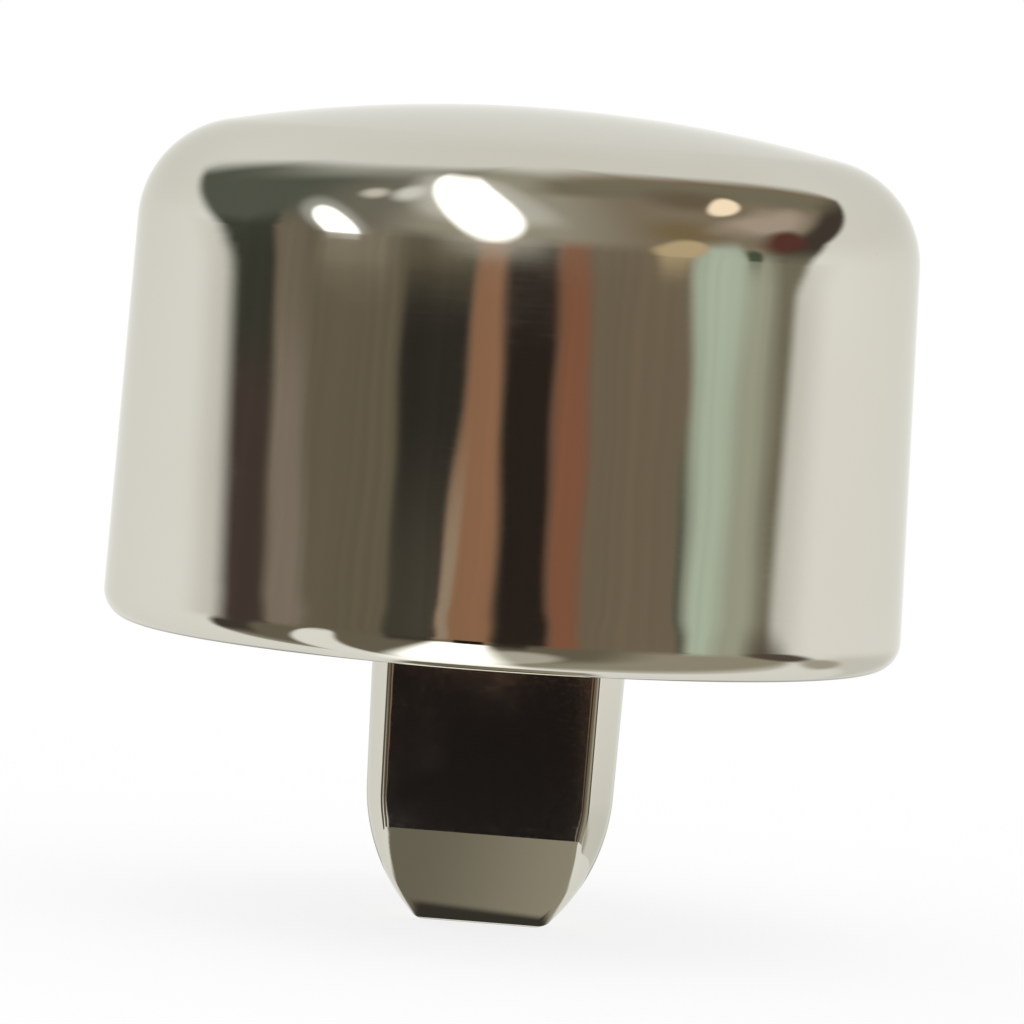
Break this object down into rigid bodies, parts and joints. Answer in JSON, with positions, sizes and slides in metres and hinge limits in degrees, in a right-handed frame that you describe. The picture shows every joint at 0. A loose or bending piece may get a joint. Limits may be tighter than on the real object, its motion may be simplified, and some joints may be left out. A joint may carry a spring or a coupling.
{
  "type": "stove knob",
  "caption": "Round chromed stove knob with a domed crown, a large rounded top edge and a short D-shaped stem below that plugs into the control.",
  "frame": {"origin": "on the knob's axis, in the plane of the cap's rim, where the stem leaves the cap", "axes": "+Z along the axis towards the crown, -Z along the stem towards its tip, -Y out of the stem's flat"},
  "size_m": [0.0188, 0.0188, 0.0192],
  "materials": {
    "chrome": "polished"
  },
  "bodies": {
    "root": {"knob": "chrome"}
  },
  "joints": []
}
